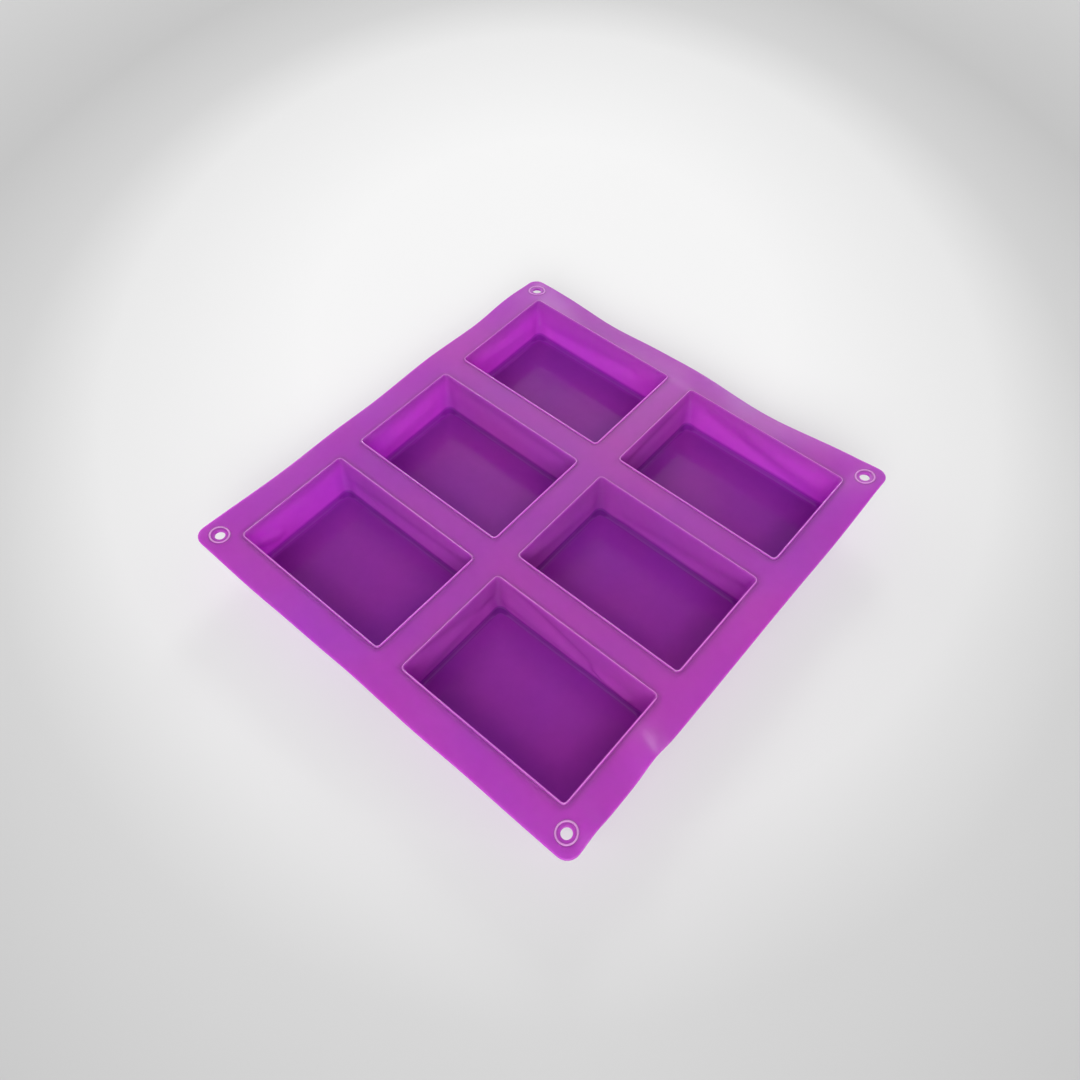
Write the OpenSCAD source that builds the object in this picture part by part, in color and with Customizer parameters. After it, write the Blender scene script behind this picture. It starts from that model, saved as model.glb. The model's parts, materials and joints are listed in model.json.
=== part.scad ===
// Six-cavity silicone soap mould: a flexible sheet with two columns and three rows of
// straight-sided pockets hanging below it, and a hanging eyelet in each corner.
// X runs along the pockets' long side, Y along the three rows, and Z points up out of the
// mouths. The origin is the centre of the footprint, on the surface that the mould stands on.

/* [Pockets] */
// Number of pockets side by side along X
columns = 2; // [1:1:4]
// Number of pockets one behind another along Y
rows = 3; // [1:1:5]
// Length of a pocket's mouth, along X
mouth_l = 82; // [60:1:110]
// Width of a pocket's mouth, along Y
mouth_w = 55; // [40:1:80]
// Depth from the top of the sheet to the pocket's floor
pocket_depth = 23.4; // [15:0.1:45]
// How far each side leans in between the mouth and the floor
draft = 1; // [0:0.1:3]
// Corner radius of the mouth, seen from above
mouth_corner_r = 1.5; // [1:0.5:8]
// Radius of the rounded edge between the walls and the floor
floor_edge_r = 2.5; // [2:0.1:3]
// Thickness of the walls and the floor
shell_t = 1.6; // [1:0.1:3]

/* [Sheet] */
// Width of the web between two columns, at the mouths
column_gap = 14; // [12:0.5:30]
// Width of the web between two rows, at the mouths
row_gap = 13.5; // [12:0.5:30]
// Width of the border outside the outermost mouths
border = 15; // [14:0.5:30]
// Thickness of the sheet
sheet_t = 1.5; // [1:0.1:3]
// Radius of the sheet's four corners
sheet_corner_r = 5.5; // [4:0.5:14]

/* [Mouth beads] */
// Radius of the half-round bead around each mouth
bead_r = 0.5; // [0.3:0.1:0.8]

/* [Hanging eyelets] */
// Diameter of the hole
hole_d = 4.4; // [3:0.1:5]
// Outer diameter of the eyelet
eyelet_d = 8.8; // [8:0.1:10]
// Distance of the hole's centre from both edges of the sheet
hole_inset = 8; // [6:0.1:8]
// Radius of the half-round bead around the eyelet
eyelet_bead_r = 0.4; // [0.2:0.1:0.6]

/* [Push-out floor panels] */
// Gap all round a floor panel, where the silicone stretches as the panel is pushed up
panel_gap = 0.3; // [0.2:0.1:0.6]
// Height of the panel's underside above the rim that the pocket stands on
panel_lift = 0.3; // [0.1:0.1:0.5]
// Width of the flat rim that a pocket stands on, around its floor panel
foot_rim = 1; // [0.5:0.1:2]

/* [Hidden] */
pitch_x = mouth_l + column_gap;
pitch_y = mouth_w + row_gap;
sheet_l = columns * mouth_l + (columns - 1) * column_gap + 2 * border;
sheet_w = rows * mouth_w + (rows - 1) * row_gap + 2 * border;
sheet_top = shell_t + pocket_depth;
sheet_under = sheet_top - sheet_t;
foot_l = mouth_l - 2 * draft - 2 * floor_edge_r;
foot_w = mouth_w - 2 * draft - 2 * floor_edge_r;
window_l = foot_l - 2 * foot_rim;
window_w = foot_w - 2 * foot_rim;
window_corner_r = 3;
hole_x = sheet_l / 2 - hole_inset;
hole_y = sheet_w / 2 - hole_inset;
overrun = 1; // how far a cutting solid runs past the face that it cuts
sheet_colour = [0.66, 0.28, 0.70];
wall_colour = [0.55, 0.15, 0.60];
floor_colour = [0.49, 0.13, 0.54];
bead_colour = [0.80, 0.42, 0.84];

POCKETS = [for (c = [0 : columns - 1], r = [0 : rows - 1]) [c, r]];
CORNERS = [[-1, -1, "left_front"], [1, -1, "right_front"], [-1, 1, "left_back"], [1, 1, "right_back"]];

// A pocket's node is named by its column's letter and its row's number, such as pocket_wall_a1.
function node_name(what, pocket) = str(what, "_", chr(97 + pocket[0]), pocket[1] + 1);

function pocket_centre(pocket) = [
    (pocket[0] - (columns - 1) / 2) * pitch_x,
    (pocket[1] - (rows - 1) / 2) * pitch_y
];

// Moves its children from the origin to a pocket's centre.
module at_pocket(pocket) {
    translate(concat(pocket_centre(pocket), 0)) children();
}

// A flat rectangle with true round corners, centred.
module rounded_rect(l, w, r) {
    square([l - 2 * r, w], center = true);
    square([l, w - 2 * r], center = true);
    for (x = [-1, 1], y = [-1, 1])
        translate([x * (l / 2 - r), y * (w / 2 - r)]) circle(r, $fn = 48);
}

// A ball with a point at its lowest place, so that a foot made from it reaches down exactly.
module ball(r) {
    rotate_extrude($fn = 32)
        intersection() {
            circle(r, $fn = 32);
            translate([0, -r]) square([r, 2 * r]);
        }
}

// The hollow of a pocket, grown outwards by an even thickness and closed at the height top.
module pocket_space(thickness, top) {
    top_r = mouth_corner_r + thickness;
    low_r = floor_edge_r + thickness;
    hull() {
        for (x = [-1, 1], y = [-1, 1]) {
            translate([x * foot_l / 2, y * foot_w / 2, shell_t + floor_edge_r]) ball(low_r);
            translate([x * (mouth_l / 2 - mouth_corner_r), y * (mouth_w / 2 - mouth_corner_r), top - 0.1])
                cylinder(h = 0.1, r = top_r, $fn = 32);
        }
    }
}

// The upper half of a small circle, which a bead is swept from.
module half_round(r) {
    intersection() {
        circle(r, $fn = 32);
        translate([-r, 0]) square([2 * r, r]);
    }
}

// The sheet that joins all the mouths, open at each mouth and at each eyelet.
module sheet() {
    color(sheet_colour)
    translate([0, 0, sheet_under])
    linear_extrude(sheet_t)
    difference() {
        rounded_rect(sheet_l, sheet_w, sheet_corner_r);
        for (pocket = POCKETS)
            translate(pocket_centre(pocket)) rounded_rect(mouth_l, mouth_w, mouth_corner_r);
        for (corner = CORNERS)
            translate([corner[0] * hole_x, corner[1] * hole_y]) circle(d = eyelet_d, $fn = 64);
    }
}

// The four walls of a pocket, with the rounded edge and the rim that it stands on.
module pocket_wall(pocket) {
    color(wall_colour)
    at_pocket(pocket)
    difference() {
        pocket_space(shell_t, sheet_under);
        pocket_space(0, sheet_top);
        translate([0, 0, -overrun])
            linear_extrude(shell_t + 2 * overrun) rounded_rect(window_l, window_w, window_corner_r);
    }
}

// The flat floor of a pocket, which a thumb pushes up from below to free the bar.
module pocket_floor(pocket) {
    color(floor_colour)
    at_pocket(pocket)
    translate([0, 0, panel_lift])
    linear_extrude(shell_t - panel_lift)
    rounded_rect(window_l - 2 * panel_gap, window_w - 2 * panel_gap, window_corner_r - panel_gap);
}

// The half-round bead that stands up around a mouth.
module mouth_bead(pocket) {
    corner_x = mouth_l / 2 - mouth_corner_r;
    corner_y = mouth_w / 2 - mouth_corner_r;
    color(bead_colour)
    at_pocket(pocket)
    translate([0, 0, sheet_top]) {
        for (y = [-1, 1])
            translate([-corner_x, y * (mouth_w / 2 + bead_r), 0])
                rotate([90, 0, 90]) linear_extrude(2 * corner_x) half_round(bead_r);
        for (x = [-1, 1])
            translate([x * (mouth_l / 2 + bead_r), corner_y, 0])
                rotate([90, 0, 0]) linear_extrude(2 * corner_y) half_round(bead_r);
        for (turn = [[1, 1, 0], [-1, 1, 90], [-1, -1, 180], [1, -1, 270]])
            translate([turn[0] * corner_x, turn[1] * corner_y, 0])
                rotate([0, 0, turn[2]])
                rotate_extrude(angle = 90, $fn = 48)
                translate([mouth_corner_r + bead_r, 0]) half_round(bead_r);
    }
}

// The ring around a hanging hole, with a bead along its edge.
module eyelet(corner) {
    color(bead_colour)
    translate([corner[0] * hole_x, corner[1] * hole_y, sheet_under])
    difference() {
        union() {
            cylinder(h = sheet_t, d = eyelet_d, $fn = 64);
            translate([0, 0, sheet_t])
                rotate_extrude($fn = 64)
                translate([eyelet_d / 2 - eyelet_bead_r, 0]) half_round(eyelet_bead_r);
        }
        translate([0, 0, -overrun]) cylinder(h = sheet_t + 2 * overrun, d = hole_d, $fn = 64);
    }
}

sheet();
for (pocket = POCKETS) {
    pocket_wall(pocket);
    pocket_floor(pocket);
    mouth_bead(pocket);
}
for (corner = CORNERS)
    eyelet(corner);
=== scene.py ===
import json
import math

import bpy
import numpy as np
from mathutils import Matrix, Vector
from mathutils.geometry import delaunay_2d_cdt


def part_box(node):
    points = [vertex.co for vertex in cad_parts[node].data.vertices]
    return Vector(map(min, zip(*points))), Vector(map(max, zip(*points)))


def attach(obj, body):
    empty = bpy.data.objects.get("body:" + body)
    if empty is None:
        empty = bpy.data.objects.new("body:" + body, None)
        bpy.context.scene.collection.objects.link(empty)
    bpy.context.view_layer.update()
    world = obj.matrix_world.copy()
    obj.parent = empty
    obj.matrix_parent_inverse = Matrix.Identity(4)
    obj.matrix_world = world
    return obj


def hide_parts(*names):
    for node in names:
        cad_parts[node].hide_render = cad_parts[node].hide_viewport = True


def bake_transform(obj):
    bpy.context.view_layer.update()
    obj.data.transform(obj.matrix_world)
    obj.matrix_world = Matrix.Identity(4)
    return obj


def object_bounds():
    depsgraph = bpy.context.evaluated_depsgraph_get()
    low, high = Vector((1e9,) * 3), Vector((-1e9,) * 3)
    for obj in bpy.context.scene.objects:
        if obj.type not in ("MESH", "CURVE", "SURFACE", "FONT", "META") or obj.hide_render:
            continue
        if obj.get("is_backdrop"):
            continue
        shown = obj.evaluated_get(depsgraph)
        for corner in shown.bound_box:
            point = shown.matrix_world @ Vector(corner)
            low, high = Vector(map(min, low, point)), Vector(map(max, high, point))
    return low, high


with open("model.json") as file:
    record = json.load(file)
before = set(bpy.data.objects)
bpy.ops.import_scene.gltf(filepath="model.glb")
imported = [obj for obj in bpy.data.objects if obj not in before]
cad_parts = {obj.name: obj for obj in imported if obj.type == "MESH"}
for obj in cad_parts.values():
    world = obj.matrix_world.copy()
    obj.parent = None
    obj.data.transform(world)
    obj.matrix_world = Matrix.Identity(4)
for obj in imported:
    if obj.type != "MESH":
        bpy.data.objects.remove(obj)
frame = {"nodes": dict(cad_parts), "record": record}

CAD_LOW, CAD_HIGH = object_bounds()
MM = 0.001

# ---------------------------------------------------------------- sizes, from the frame
SHEET_LOW, SHEET_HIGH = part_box("sheet")
SHEET_TOP, SHEET_UNDER = SHEET_HIGH.z, SHEET_LOW.z
HALF_L, HALF_W = SHEET_HIGH.x, SHEET_HIGH.y
TAGS = sorted(n.removeprefix("pocket_wall_") for n in frame["nodes"] if n.startswith("pocket_wall_"))
EYELETS = sorted(n for n in frame["nodes"] if n.startswith("eyelet_"))
BEAD_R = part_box("mouth_bead_" + TAGS[0])[1].z - SHEET_TOP
FLOOR_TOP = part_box("pocket_floor_" + TAGS[0])[1].z

# ---------------------------------------------------------------- small sizes, as in the CAD source
MOUTH_CORNER_R = 1.5 * MM
FOOT_CORNER_R = 4 * MM
FLOOR_EDGE_R = 2.5 * MM
DRAFT = 1 * MM
SHELL = 1.6 * MM
SHEET_CORNER_R = 5.5 * MM
HOLE_R = frame["record"]["mounts"][0]["dims"]["r_mm"] * MM
EYELET_BEAD_R = 0.4 * MM

# ---------------------------------------------------------------- soft edges, which the CAD leaves sharp
SHEET_EDGE_R = 0.5 * MM   # round of the sheet's outer edge
HOLE_EDGE_R = 0.35 * MM   # round of the hanging hole's edges
ROOT_R = 1.5 * MM         # hollow round where a pocket's outside meets the sheet

# ---------------------------------------------------------------- mesh fineness
TURN = 6            # steps round a quarter circle, seen from above
HOLE_STEPS = 48     # steps round an eyelet
WALL_STEPS = 14     # steps down a pocket's inner wall
OUTSIDE_STEPS = 12  # steps up a pocket's outer wall
SIDE_STEP = 2 * MM  # spacing of the points along a straight side
FILL_STEP = 3 * MM  # spacing of the points inside a flat face, in rows that are 0.87 of it apart


def pocket_frame(tag):
    """Centre and half size of a pocket's mouth, from the bead that surrounds it."""
    low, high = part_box("mouth_bead_" + tag)
    centre = (low + high) / 2
    return centre, (high.x - low.x) / 2 - 2 * BEAD_R, (high.y - low.y) / 2 - 2 * BEAD_R


def eyelet_frame(name):
    """Centre and outer radius of an eyelet."""
    low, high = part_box(name)
    return (low + high) / 2, (high.x - low.x) / 2


# ---------------------------------------------------------------- warp of the soft border
# Heights of the sheet's corners, in millimetres above the flat sheet.
CORNER_LIFT = {(-1, -1): 2.3, (1, -1): -3.4, (-1, 1): -3.2, (1, 1): 1.5}
# Waves of the border: the side, where along it, spread along it and height, in millimetres.
WAVES = [
    ("back", -50, 17, -3.2), ("back", -16, 13, -1.2), ("back", 40, 24, -5.0),
    ("left", -62, 22, -1.8), ("left", -8, 14, -1.2), ("left", 30, 10, 0.5),
    ("left", 64, 10, -0.8), ("left", 88, 10, 1.1),
    ("front", -68, 14, -1.9), ("front", -7, 10, 1.4), ("front", 28, 9, -1.0), ("front", 56, 10, 0.6),
    ("right", -74, 34, 2.4), ("right", 10, 22, 0.9), ("right", 64, 14, -1.9), ("right", 102, 9, 1.8),
]
# Creases across the border: the same, and how far along it their inner ends lie from the outer ones.
CREASES = [("right", -62.5, 5.5, 4.8, 3), ("right", -97, 4, 2.4, 3)]
BEND = 1.15  # how the border's height grows from the mouths to the edge: 1 is straight, 2 a parabola
SOFT_DEPTH = 2 * MM  # the warp fades out over this depth below the sheet
CENTRES = [pocket_frame(tag)[0] for tag in TAGS]
MOUTH_X = max(c.x for c in CENTRES) + pocket_frame(TAGS[0])[1]
MOUTH_Y = max(c.y for c in CENTRES) + pocket_frame(TAGS[0])[2]


def edge_height(side, along, out):
    """Heights of one edge of the sheet at places along it: straight between its corners, plus its waves.

    out is how far out across the border each place is, from 0 at the mouths to 1 at the edge.
    """
    if side in ("left", "right"):
        x = -1 if side == "left" else 1
        half, ends = HALF_W, (CORNER_LIFT[x, -1], CORNER_LIFT[x, 1])
    else:
        y = -1 if side == "front" else 1
        half, ends = HALF_L, (CORNER_LIFT[-1, y], CORNER_LIFT[1, y])
    share = np.clip(along / half / 2 + 0.5, 0, 1)
    height = ends[0] * (1 - share) + ends[1] * share
    for where, centre, spread, lift, slant in [(*wave, 0) for wave in WAVES] + CREASES:
        if where == side:
            height += lift * np.exp(-((along / MM - centre - slant * (1 - out)) / spread) ** 2 / 2)
    return height * MM


def warp(points):
    """Moves points of the border up or down, as the soft sheet hangs. Mouths and pockets stay put."""
    x, y, z = points.T
    out_x = np.clip((np.abs(x) - MOUTH_X) / (HALF_L - MOUTH_X), 0, 1)
    out_y = np.clip((np.abs(y) - MOUTH_Y) / (HALF_W - MOUTH_Y), 0, 1)
    height_x = np.where(x > 0, edge_height("right", y, out_x), edge_height("left", y, out_x))
    height_y = np.where(y > 0, edge_height("back", x, out_y), edge_height("front", x, out_y))
    out_x, out_y = out_x ** BEND, out_y ** BEND
    height = out_x * height_x + out_y * height_y - out_x * out_y * (height_x + height_y) / 2
    near_sheet = np.clip((z - SHEET_UNDER) / SOFT_DEPTH + 1, 0, 1)
    moved = points.copy()
    moved[:, 2] += height * near_sheet
    return moved


# ---------------------------------------------------------------- folds in the pocket walls
# Pocket, wall, where the fold starts and ends, its half width and its outward depth in millimetres.
# A place is (along the wall from -1 to 1, height from 0 at the floor to 1 at the mouth).
FOLDS = [
    ("b1", "left", (-0.9, 1.0), (0.95, 0.35), 3.5, 0.9), ("b1", "left", (-1.0, 0.3), (0.6, 0.55), 4, -0.6),
    ("b1", "back", (-0.8, 0.95), (0.3, 0.3), 3, 0.9), ("b1", "back", (0.3, 0.35), (0.7, 0.25), 2.2, -1.7),
    ("b1", "back", (-0.9, 0.4), (0.0, 0.25), 4, -0.6),
    ("b2", "back", (-0.6, 0.15), (0.9, 0.45), 4, 0.9), ("b2", "left", (-0.9, 0.7), (0.7, 0.4), 4, -0.6),
    ("b3", "back", (-0.7, 0.6), (0.4, 0.2), 4, 0.8), ("b3", "back", (-0.1, 0.7), (0.9, 0.4), 4, -0.8),
    ("b3", "left", (-0.7, 0.6), (0.8, 0.7), 3, 0.6),
    ("a2", "back", (-0.95, 0.85), (0.9, 0.7), 4, 0.8), ("a2", "left", (-0.6, 0.3), (0.5, 0.5), 5, -0.7),
    ("a1", "back", (-0.8, 0.35), (0.9, 0.5), 4, 0.7), ("a1", "left", (-0.95, 0.6), (-0.5, 0.35), 2.5, -1.2),
    ("a3", "back", (-0.8, 0.3), (0.5, 0.55), 4, 0.9), ("a3", "left", (-0.5, 0.6), (0.7, 0.4), 4, -0.6),
]
FADE = 4 * MM  # the folds fade out over this distance from a wall's upright edges

# ---------------------------------------------------------------- tones, from 0 for the deepest painted shade to 1 for a painted highlight
DEEPEST_SHADE, PLAIN, HIGHLIGHT = 0.02, 0.5, 1
FLOOR_SHADE_TONES = (3 * MM, 18 * MM), (0.17, 0.31)         # distance in from the wall, and the floor's painted shade there, darker nearer the wall
WALL_FOOT_SHADE_TONES = (0.01, 0.07, 0.16), (0.12, 0.06, PLAIN)  # share of the pocket's depth, and the wall's tone there: painted shade in a dark band at the foot, plain above
CORNER_REACH = 7 * MM  # the walls get painted shade this near to the foot of an upright edge, and by so much at most
CORNER_SHADE = 0.4     # and by so much at most


def share_of(value):
    """The value, kept between 0 and 1."""
    return min(max(value, 0), 1)


def fold_depth(tag, side, along, height, half, tall):
    """How far the folds push a place on a pocket's wall outward: none at its mouth, floor and edges."""
    depth = 0
    for where, wall, start, end, width, push in FOLDS:
        if (where, wall) == (tag, side):
            a, b = (Vector((u * half, h * tall)) for u, h in (start, end))
            p = Vector((along, height))
            share = share_of((p - a).dot(b - a) / (b - a).length_squared)
            away = (p - a - (b - a) * share).length
            depth += push * MM * math.exp(-((away / (width * MM)) ** 2))
    fade_up = math.sin(math.pi * share_of(height / tall)) ** 0.7
    return depth * fade_up * share_of((half - abs(along)) / FADE)


# ---------------------------------------------------------------- outlines and meshes
def arc(start, end, steps):
    """Angles in radians from start to end, both in degrees and both included."""
    return [math.radians(start + (end - start) * k / steps) for k in range(steps + 1)]


def side_steps(half_x, half_y):
    """Number of steps along a rectangle's sides, in x and in y."""
    return round(2 * half_x / SIDE_STEP), round(2 * half_y / SIDE_STEP)


def rounded_rect(half_x, half_y, radius, centre=(0, 0), sides=None):
    """Points counter-clockwise round a rectangle with round corners, with sides as its steps in x and y."""
    steps_x, steps_y = sides or side_steps(half_x, half_y)
    corners = []
    for k, (x, y) in enumerate(((1, 1), (-1, 1), (-1, -1), (1, -1))):
        middle = np.array((x * (half_x - radius), y * (half_y - radius)))
        angles = arc(90 * k, 90 * k + 90, TURN)
        corners.append([middle + radius * np.array((math.cos(a), math.sin(a))) for a in angles])
    points = []
    for corner, following, steps in zip(corners, corners[1:] + corners[:1], (steps_x, steps_y) * 2):
        start, end = corner[-1], following[0]
        points += corner + [start + (end - start) * i / steps for i in range(1, steps)]
    return np.array(points) + np.array(centre)


def circle(radius, centre):
    """Points counter-clockwise round a circle."""
    angles = np.arange(HOLE_STEPS) * 2 * math.pi / HOLE_STEPS
    return np.array(centre) + radius * np.stack([np.cos(angles), np.sin(angles)], 1)


def inside(points, rings):
    """True for each point that lies inside an odd number of the rings."""
    odd = np.zeros(len(points), bool)
    for ring in rings:
        ahead = np.roll(ring, -1, axis=0)
        for (x0, y0), (x1, y1) in zip(ring, ahead):
            crosses = (points[:, 1] < y0) != (points[:, 1] < y1)
            if y0 != y1:
                odd ^= crosses & (points[:, 0] < x0 + (points[:, 1] - y0) * (x1 - x0) / (y1 - y0))
    return odd


class Builder:
    """Collects rings of points and the faces between them, and makes one mesh object."""

    def __init__(self):
        self.points, self.faces = [], []

    def ring(self, outline, z):
        """Adds an outline's points at a height and gives their numbers."""
        first = len(self.points)
        self.points += [(x, y, z) for x, y in outline]
        return list(range(first, len(self.points)))

    def bridge(self, a, b):
        """Joins two rings of equal length with a band of faces."""
        for i in range(len(a)):
            j = (i + 1) % len(a)
            self.faces.append((a[i], a[j], b[j], b[i]))

    def loft(self, rings):
        """Joins each ring to the next."""
        for a, b in zip(rings, rings[1:]):
            self.bridge(a, b)

    def fill(self, boundary, holes=(), up=True):
        """Fills the flat region inside one ring and outside others with even triangles."""
        rings = [np.array([self.points[i][:2] for i in ring]) for ring in (boundary, *holes)]
        outline = np.concatenate(rings)
        numbers = [i for ring in (boundary, *holes) for i in ring]
        edges, first = [], 0
        for ring in rings:
            edges += [(first + i, first + (i + 1) % len(ring)) for i in range(len(ring))]
            first += len(ring)
        given = [Vector(p) for p in (*outline, *self.spots(outline, rings))]
        places, _, faces, origins, _, _ = delaunay_2d_cdt(given, edges, [], 0, 1e-7)
        found = []
        z = self.points[boundary[0]][2]
        for place, came_from in zip(places, origins):
            on_outline = [i for i in came_from if i < len(outline)]
            if on_outline:
                found.append(numbers[on_outline[0]])
            else:
                found.append(len(self.points))
                self.points.append((place.x, place.y, z))
        middles = np.array([np.mean([tuple(places[i]) for i in face], axis=0) for face in faces])
        for face, wanted in zip(faces, inside(middles, rings)):
            if wanted:
                corners = [found[i] for i in face]
                self.faces.append(tuple(corners if up else corners[::-1]))

    def spots(self, outline, rings):
        """Points in staggered rows over a flat region, clear of its outline."""
        low, high = outline.min(0), outline.max(0)
        spots = []
        for k, y in enumerate(np.arange(low[1], high[1], FILL_STEP * 0.87)):
            spots += [(x, y) for x in np.arange(low[0] + k % 2 * FILL_STEP / 2, high[0], FILL_STEP)]
        spots = [p for p, wanted in zip(spots, inside(np.array(spots), rings)) if wanted]
        return [p for p in spots if np.min(np.hypot(*(outline - p).T)) > FILL_STEP * 0.6]

    def piece(self, name, material, tone):
        """Makes the object. tone(x, y, z) gives each point's tone, from 0 for the deepest painted shade to 1
        for a painted highlight.
        """
        mesh = bpy.data.meshes.new(name)
        points = np.array(self.points, float)
        mesh.from_pydata([tuple(p) for p in warp(points)], [], self.faces)
        mesh.shade_smooth()
        mesh.set_sharp_from_angle(angle=math.radians(50))
        mesh.materials.append(material)
        rest = mesh.attributes.new("rest", "FLOAT_VECTOR", "POINT")
        rest.data.foreach_set("vector", points.ravel())
        tones = mesh.attributes.new("tone", "FLOAT", "POINT")
        tones.data.foreach_set("value", np.array([tone(*p) for p in points]))
        obj = bpy.data.objects.new(name, mesh)
        bpy.context.scene.collection.objects.link(obj)
        return obj


# ---------------------------------------------------------------- materials
def linear(r, g, b):
    """A colour given as 0 to 255 display values, as linear light."""
    shares = [v / 255 for v in (r, g, b)]
    return tuple(s / 12.92 if s <= 0.04 else ((s + 0.055) / 1.055) ** 2.4 for s in shares) + (1,)


class Look:
    """A Principled material and short ways to add nodes to it."""

    def __init__(self, name):
        self.mat = bpy.data.materials.new(name)
        self.mat.use_nodes = True
        self.nodes, self.links = self.mat.node_tree.nodes, self.mat.node_tree.links
        self.shader = self.nodes["Principled BSDF"]

    def node(self, kind, inputs=(), **settings):
        """Adds a node. An input is a number, a colour or another node's socket."""
        made = self.nodes.new(kind)
        for key, value in settings.items():
            setattr(made, key, value)
        for key, value in dict(inputs).items():
            if isinstance(value, bpy.types.NodeSocket):
                self.links.new(value, made.inputs[key])
            else:
                made.inputs[key].default_value = value
        return made

    def tone(self):
        """The piece's own tone attribute, which carries painted shade and painted highlights."""
        return self.node("ShaderNodeAttribute", attribute_name="tone").outputs["Fac"]

    def noise(self, size, detail):
        """Noise whose blotches are about size metres across, fixed to the piece as it is at rest."""
        at = self.node("ShaderNodeAttribute", attribute_name="rest").outputs["Vector"]
        wanted = {"Vector": at, "Scale": 0.5 / size, "Detail": detail}
        return self.node("ShaderNodeTexNoise", wanted).outputs["Fac"]

    def ramp(self, value, *stops):
        """Colours or greys along value: (place, colour or number) for each stop."""
        ramp = self.node("ShaderNodeValToRGB", {"Fac": value})
        for k, (place, colour) in enumerate(stops):
            at = ramp.color_ramp.elements[k] if k < 2 else ramp.color_ramp.elements.new(place)
            at.position = place
            at.color = colour if isinstance(colour, tuple) else (colour, colour, colour, 1)
        return ramp.outputs["Color"]

    def multiply(self, a, b):
        """One colour times another."""
        mix = self.node("ShaderNodeMix", {0: 1, 6: a, 7: b}, data_type="RGBA", blend_type="MULTIPLY")
        return mix.outputs[2]

    def add(self, a, b):
        """One number plus another."""
        return self.node("ShaderNodeMath", {0: a, 1: b}, operation="ADD").outputs[0]

    def bump(self, height, strength, distance, under=None):
        """Relief that is distance metres deep, over another relief where under is given."""
        wanted = {"Height": height, "Strength": strength, "Distance": distance}
        if under:
            wanted["Normal"] = under
        return self.node("ShaderNodeBump", wanted).outputs["Normal"]


def silicone(name, tones, roughness, ripple, scatter):
    """Soft translucent silicone in three tones: painted shade at tone 0, plain at 0.5 and a painted highlight
    at 1.

    roughness is its least and most, ripple the depth of its long waves and scatter how far light spreads.
    """
    look = Look(name)
    cloudy = look.ramp(look.noise(30 * MM, 3), (0.3, linear(240, 241, 254)), (0.7, linear(255, 248, 246)))
    specks = look.ramp(look.noise(2 * MM, 3), (0.35, 0.97), (0.65, 1.0))
    # Colour from the tone attribute (painted shade, plain colour or painted highlight), times random
    # mottling.
    colour = look.multiply(look.ramp(look.tone(), *zip((0, 0.5, 1), tones)), cloudy)
    look.links.new(look.multiply(colour, specks), look.shader.inputs["Base Color"])
    uneven = look.ramp(look.noise(9 * MM, 3), (0.3, roughness[0]), (0.7, roughness[1]))
    dull_foot = look.ramp(look.tone(), (0.05, 0.8), (0.13, 0.0))
    look.links.new(look.add(uneven, dull_foot), look.shader.inputs["Roughness"])
    waves = look.bump(look.noise(18 * MM, 1), 1, ripple)
    grain = look.bump(look.noise(0.5 * MM, 2), 0.35, 0.02 * MM, waves)
    look.links.new(grain, look.shader.inputs["Normal"])
    look.shader.inputs["IOR"].default_value = 1.41
    look.shader.inputs["Subsurface Weight"].default_value = 1.0
    look.shader.inputs["Subsurface Radius"].default_value = (1.0, 0.5, 1.0)
    look.shader.inputs["Subsurface Scale"].default_value = scatter
    return look.mat


def plain_floor():
    """A matt floor with a painted pool of light, palest in an oval round the object."""
    look = Look("pale_floor")
    at = look.node("ShaderNodeTexCoord").outputs["Object"]
    at = look.node("ShaderNodeMapping", {"Vector": at, "Scale": (1.25, 1, 1)}).outputs["Vector"]
    away = look.node("ShaderNodeVectorMath", {0: at}, operation="LENGTH").outputs["Value"]
    # Painted pool of light: palest near the middle, darker further out.
    painted_pool = look.ramp(away, (0.16, 0.67), (0.29, 0.56), (0.35, 0.38), (0.44, 0.27), (0.75, 0.42))
    look.links.new(painted_pool, look.shader.inputs["Base Color"])
    look.shader.inputs["Emission Color"].default_value = (1, 1, 1, 1)
    look.shader.inputs["Emission Strength"].default_value = 0.3
    look.shader.inputs["Roughness"].default_value = 0.9
    look.shader.inputs["Specular IOR Level"].default_value = 0.1
    return look.mat


# ---------------------------------------------------------------- pieces
def make_sheet(material):
    """The flat sheet with a rounded rim, open at the mouths and the eyelets."""
    b = Builder()
    sides = side_steps(HALF_L, HALF_W)

    def rim(inset, z):
        outline = rounded_rect(HALF_L - inset, HALF_W - inset, SHEET_CORNER_R - inset, sides=sides)
        return b.ring(outline, z)

    rings = []
    for a in arc(0, 90, 3):
        rings.append(rim(SHEET_EDGE_R * (1 - math.sin(a)), SHEET_TOP - SHEET_EDGE_R * (1 - math.cos(a))))
    for a in arc(0, 90, 3):
        rings.append(rim(SHEET_EDGE_R * (1 - math.cos(a)), SHEET_UNDER + SHEET_EDGE_R * (1 - math.sin(a))))
    b.loft(rings[::-1])
    outlines = []
    for tag in TAGS:
        centre, half_x, half_y = pocket_frame(tag)
        outlines.append(rounded_rect(half_x + BEAD_R, half_y + BEAD_R, MOUTH_CORNER_R + BEAD_R, centre.xy))
    for name in EYELETS:
        centre, radius = eyelet_frame(name)
        outlines.append(circle(radius - EYELET_BEAD_R, centre.xy))
    tops, unders = [], []
    for outline in outlines:
        tops.append(b.ring(outline, SHEET_TOP))
        unders.append(b.ring(outline, SHEET_UNDER))
        b.bridge(tops[-1], unders[-1])
    b.fill(rings[0], tops)
    b.fill(rings[-1], unders, up=False)
    piece = b.piece("sheet_skin", material, lambda x, y, z: PLAIN)
    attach(piece, "mould")
    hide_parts("sheet")


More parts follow.
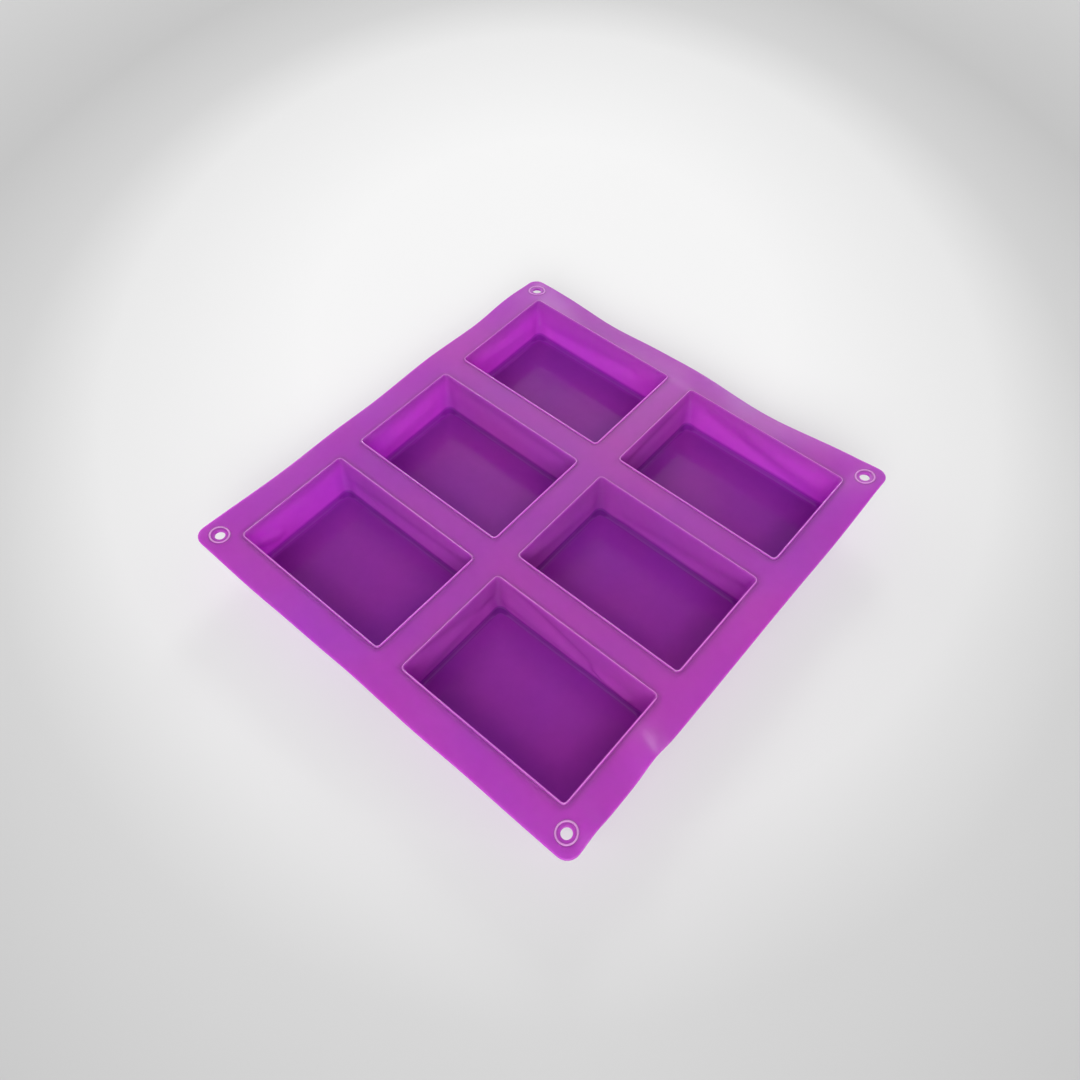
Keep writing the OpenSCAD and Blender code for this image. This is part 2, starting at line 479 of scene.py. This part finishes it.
def make_cup(tag, material):
    """One pocket as a thin closed shell: bead, inner wall, floor, outer wall and root under the sheet."""
    b = Builder()
    centre, half_x, half_y = pocket_frame(tag)
    sides = side_steps(half_x, half_y)
    depth = SHEET_TOP - FLOOR_TOP
    foot_z = FLOOR_TOP + FLOOR_EDGE_R  # where the inner wall starts to turn into the floor
    outer_r = FLOOR_EDGE_R + SHELL

    def ring(grow, z, radius):
        """One ring of the shell, so much wider than the mouth all round, with folds in its far walls."""
        outline = rounded_rect(half_x + grow, half_y + grow, radius, centre.xy, sides)
        if FLOOR_TOP < z < SHEET_TOP:
            for point in outline:
                across, up = point - centre.xy
                if across < -half_x / 2:
                    point[0] -= fold_depth(tag, "left", up, z - FLOOR_TOP, half_y, depth)
                if up > half_y / 2:
                    point[1] += fold_depth(tag, "back", across, z - FLOOR_TOP, half_x, depth)
        return b.ring(outline, z)

    def lean(z):
        """Inward lean and plan corner radius of the inner wall at a height."""
        share = share_of((SHEET_TOP - z) / depth)
        return -DRAFT * share, MOUTH_CORNER_R + (FOOT_CORNER_R - MOUTH_CORNER_R) * share

    # The bead, from its outer foot over its crown to the top of the inner wall.
    inner = []
    for a in arc(0, 180, 8):
        grow = BEAD_R + BEAD_R * math.cos(a)
        inner.append(ring(grow, SHEET_TOP + BEAD_R * math.sin(a), MOUTH_CORNER_R + grow))
    # The inner wall, and the rounded edge between it and the floor.
    for k in range(1, WALL_STEPS + 1):
        z = SHEET_TOP + (foot_z - SHEET_TOP) * k / WALL_STEPS
        grow, radius = lean(z)
        inner.append(ring(grow, z, radius))
    foot_grow, foot_radius = lean(foot_z)
    for a in arc(0, 90, 6)[1:]:
        inward = FLOOR_EDGE_R * (1 - math.cos(a))
        inner.append(ring(foot_grow - inward, foot_z - FLOOR_EDGE_R * math.sin(a), foot_radius - inward))
    # The outside, from the flat underside round the outer edge and up the outer wall.
    outer = []
    for a in arc(90, 0, 6):
        grow = SHELL - outer_r * (1 - math.cos(a))
        outer.append(ring(foot_grow + grow, outer_r * (1 - math.sin(a)), foot_radius + grow))
    root_z = SHEET_UNDER - ROOT_R
    for k in range(1, OUTSIDE_STEPS + 1):
        z = outer_r + (root_z - outer_r) * k / OUTSIDE_STEPS
        grow, radius = lean(z)
        outer.append(ring(grow + SHELL, z, radius + SHELL))
    # The hollow round under the sheet.
    root_grow, root_radius = lean(root_z)
    for a in arc(0, 90, 5)[1:]:
        grow = SHELL + ROOT_R * (1 - math.cos(a))
        outer.append(ring(root_grow + grow, root_z + ROOT_R * math.sin(a), root_radius + grow))
    # Inside the sheet's thickness, back to the bead's foot.
    outer.append(ring(root_grow + SHELL + ROOT_R, SHEET_UNDER + 0.3 * MM, root_radius + SHELL + ROOT_R))
    outer.append(ring(2 * BEAD_R, SHEET_TOP - 0.4 * MM, MOUTH_CORNER_R + 2 * BEAD_R))
    b.loft(inner)
    b.loft(outer)
    b.bridge(outer[-1], inner[0])
    b.fill(inner[-1])
    b.fill(outer[0], up=False)

    def tone(x, y, z):
        """Painted highlight on the bead's crown, plain on the walls, painted shade on the floor and the
        deepest painted shade where they meet.
        """
        if z > SHEET_TOP:
            # A painted highlight along the bead's crown.
            return HIGHLIGHT if z > SHEET_TOP + 0.95 * BEAD_R else PLAIN
        height = (z - FLOOR_TOP) / depth
        wall_x, wall_y = half_x - abs(x - centre.x), half_y - abs(y - centre.y)
        if height < 0.005:
            # Painted shade on the floor, darkest by the walls.
            return np.interp(min(wall_x, wall_y), *FLOOR_SHADE_TONES)
        # Painted shade near the foot of the wall's upright edges.
        corner = max(1 - math.hypot(wall_x, wall_y) / CORNER_REACH, 0) * (1 - height)
        # Painted shade in a band at the wall's foot, with the corner's painted shade taken off it.
        return max(np.interp(height, *WALL_FOOT_SHADE_TONES) - CORNER_SHADE * corner, DEEPEST_SHADE)

    piece = b.piece("cup_" + tag, material, tone)
    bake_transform(piece)
    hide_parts("pocket_wall_" + tag, "pocket_floor_" + tag, "mouth_bead_" + tag)


def make_eyelet(name, material):
    """The ring round a hanging hole, with a fine bead along its edge."""
    b = Builder()
    centre, radius = eyelet_frame(name)
    # The profile, as (radius, height): up the hole, over the bead and down inside the sheet's thickness.
    profile = []
    for a in arc(0, 90, 4):
        out, up = HOLE_EDGE_R * (1 - math.sin(a)), HOLE_EDGE_R * (1 - math.cos(a))
        profile.append((HOLE_R + out, SHEET_UNDER + up))
    for a in arc(0, 90, 4):
        out, down = HOLE_EDGE_R * (1 - math.cos(a)), HOLE_EDGE_R * (1 - math.sin(a))
        profile.append((HOLE_R + out, SHEET_TOP - down))
    bead_radius = radius - EYELET_BEAD_R
    for a in arc(180, 0, 8):
        profile.append((bead_radius + EYELET_BEAD_R * math.cos(a), SHEET_TOP + EYELET_BEAD_R * math.sin(a)))
    profile.append((radius, SHEET_TOP - 0.3 * MM))
    profile.append((radius - 2 * EYELET_BEAD_R, SHEET_TOP - 0.8 * MM))
    profile.append((radius - 2 * EYELET_BEAD_R, SHEET_UNDER))
    rings = [b.ring(circle(r, centre.xy), z) for r, z in profile]
    b.loft(rings[::-1])
    b.bridge(rings[0], rings[-1])
    ring_name = name.replace("eyelet", "hanging_ring")
    # A painted highlight on the bead's crown, plain elsewhere.
    piece = b.piece(ring_name, material, lambda x, y, z: HIGHLIGHT if z > SHEET_TOP else PLAIN)
    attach(piece, "mould")
    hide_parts(name)


# ---------------------------------------------------------------- stage, lights and camera
VIEW_AZIMUTH, VIEW_ELEVATION, VIEW_DISTANCE = 40.96, 55.95, 394.6 * MM
VIEW_AIM = Vector((8.4 * MM, -15.7 * MM, SHEET_TOP))
VIEW_ROLL = -0.24  # degrees
LIGHTS_AIM = Vector((0, 0, 0.02))
FLOOR_REACH = 6      # how far behind the object the middle of the floor's painted pool of light is, in metres
FLOOR_BEHIND = 0.15  # how far behind the object the floor's palest place is, in metres


def direction(azimuth, elevation):
    """Unit vector from the object to a place seen so many degrees round from the front and so many up."""
    a, e = math.radians(azimuth), math.radians(elevation)
    return Vector((math.sin(a) * math.cos(e), -math.cos(a) * math.cos(e), math.sin(e)))


def place_looking(obj, aim, azimuth, elevation, distance, roll=0):
    """Puts a lamp or the camera at a distance from a point, turned to face it, and links it."""
    back = direction(azimuth, elevation)
    obj.rotation_mode = "QUATERNION"
    obj.location = aim + back * distance
    turn = Matrix.Rotation(math.radians(roll), 3, "Z").to_quaternion()
    obj.rotation_quaternion = back.to_track_quat("Z", "Y") @ turn
    bpy.context.scene.collection.objects.link(obj)


def make_stage():
    """The floor, with the middle of its painted pool of light behind the object as the camera sees it."""
    corners = [(x * FLOOR_REACH, y * FLOOR_REACH, 0) for x, y in ((-1, -1), (1, -1), (1, 1), (-1, 1))]
    mesh = bpy.data.meshes.new("floor")
    mesh.from_pydata(corners, [], [(0, 1, 2, 3)])
    mesh.materials.append(plain_floor())
    floor = bpy.data.objects.new("floor", mesh)
    floor.rotation_euler.z = math.radians(VIEW_AZIMUTH)
    floor.location = direction(VIEW_AZIMUTH + 180, 0) * FLOOR_BEHIND
    bpy.context.scene.collection.objects.link(floor)
    floor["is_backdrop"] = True


def area_light(name, azimuth, elevation, distance, size, power):
    """A rectangular lamp that faces the object: size is its width and height in metres, power in watts."""
    light = bpy.data.lights.new(name, "AREA")
    light.shape, light.size, light.size_y, light.energy = "RECTANGLE", size[0], size[1], power
    place_looking(bpy.data.objects.new(name, light), LIGHTS_AIM, azimuth, elevation, distance)


def make_world():
    """A grey room, paler towards the horizon, as walls are under a dim ceiling."""
    world = bpy.data.worlds.new("studio")
    world.use_nodes = True
    nodes, links = world.node_tree.nodes, world.node_tree.links
    height = nodes.new("ShaderNodeSeparateXYZ")
    links.new(nodes.new("ShaderNodeTexCoord").outputs["Generated"], height.inputs[0])
    sky = nodes.new("ShaderNodeValToRGB")
    links.new(height.outputs["Z"], sky.inputs["Fac"])
    links.new(sky.outputs["Color"], nodes["Background"].inputs["Color"])
    for element, (place, grey) in zip(sky.color_ramp.elements, ((0.55, 0.55), (0.95, 0.1))):
        element.position, element.color = place, (grey, grey, grey, 1)
    bpy.context.scene.world = world


def make_lights():
    """A large soft key light, two low fills, and a window and a lamp behind that the gloss picks up."""
    area_light("key", 33, 37, 1.5, (1.1, 0.9), 15.5)
    area_light("low_left", -85, 12, 2.0, (1.6, 0.5), 15)
    area_light("low_back", 175, 12, 2.0, (1.6, 0.5), 7)
    area_light("window", 216, 49, 1.2, (0.46, 0.26), 0.15)
    area_light("far_lamp", 213, 31, 1.5, (0.4, 0.4), 4.5)


def make_camera():
    """The camera, at the photograph's viewing angle."""
    camera_data = bpy.data.cameras.new("camera")
    camera_data.sensor_width, camera_data.lens = 36, 31
    camera_data.clip_start, camera_data.clip_end = 0.01, 20
    camera = bpy.data.objects.new("camera", camera_data)
    place_looking(camera, VIEW_AIM, VIEW_AZIMUTH, VIEW_ELEVATION, VIEW_DISTANCE, VIEW_ROLL)
    bpy.context.scene.camera = camera


def main():
    # Each set is the colour of painted shade, the plain colour and the colour of a painted highlight.
    sheet_tones = linear(116, 26, 136), linear(178, 73, 184), linear(246, 150, 246)
    pocket_tones = linear(97, 5, 124), linear(180, 76, 188), linear(248, 150, 247)
    sheet_look = silicone("silicone_sheet", sheet_tones, (0.31, 0.4), 0.3 * MM, 5 * MM)
    cup_look = silicone("silicone_pocket", pocket_tones, (0.09, 0.18), 0.35 * MM, 9 * MM)
    ring_look = silicone("silicone_edge", sheet_tones, (0.32, 0.42), 0.1 * MM, 4 * MM)
    make_sheet(sheet_look)
    for tag in TAGS:
        make_cup(tag, cup_look)
    for name in EYELETS:
        make_eyelet(name, ring_look)
    make_stage()
    make_world()
    make_lights()
    make_camera()
    bpy.context.scene.view_settings.view_transform = "Standard"
    [[list(corner) for corner in box] for box in ((CAD_LOW, CAD_HIGH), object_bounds())]


main()
